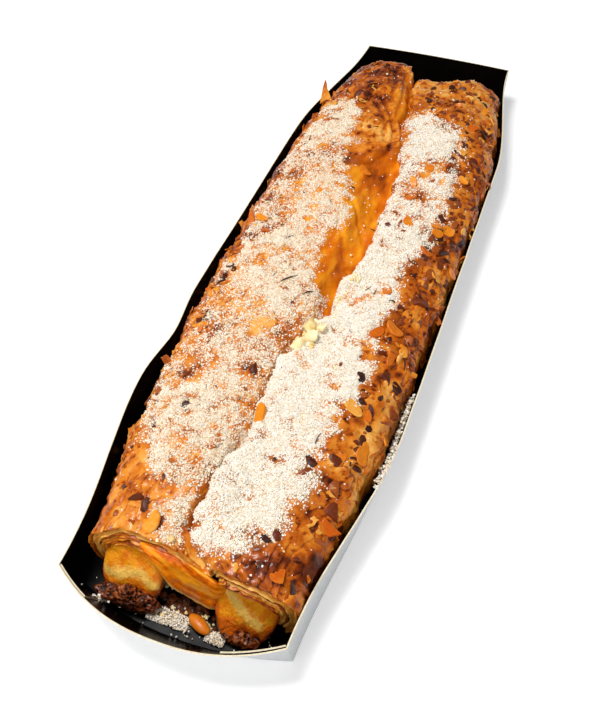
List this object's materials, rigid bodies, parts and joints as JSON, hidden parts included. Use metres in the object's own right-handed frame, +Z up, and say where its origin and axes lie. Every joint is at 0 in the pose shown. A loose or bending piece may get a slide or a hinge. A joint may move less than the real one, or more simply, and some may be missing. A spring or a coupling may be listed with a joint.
{
  "type": "danish pastry bar in its card tray",
  "caption": "Danish pastry bar with nuts, almond flakes, pearl sugar and two runs of custard, in a folded card tray, 400 mm long",
  "frame": {"origin": "on the tray's underside at the middle of its length and width, where it rests on a table", "axes": "+X across the bar, to the right seen from the open front end; +Y along the bar, from the open front end to the back; +Z up"},
  "size_m": [0.1222, 0.4157, 0.044],
  "materials": {
    "crust": "glossy golden-brown baked crust",
    "custard": "satin, yellow, slightly grainy",
    "burnt_custard": "burnt, spongy, half-gloss",
    "almond": "satin skin",
    "card": "black gloss inside, silver-grey outside, raw cream edge"
  },
  "bodies": {
    "root": {"card_tray": "card", "pastry_dough": "crust", "custard_left": "custard", "custard_right": "custard", "leaked_custard_left": "burnt_custard", "leaked_custard_right": "burnt_custard", "loose_almond": "almond"}
  },
  "joints": []
}
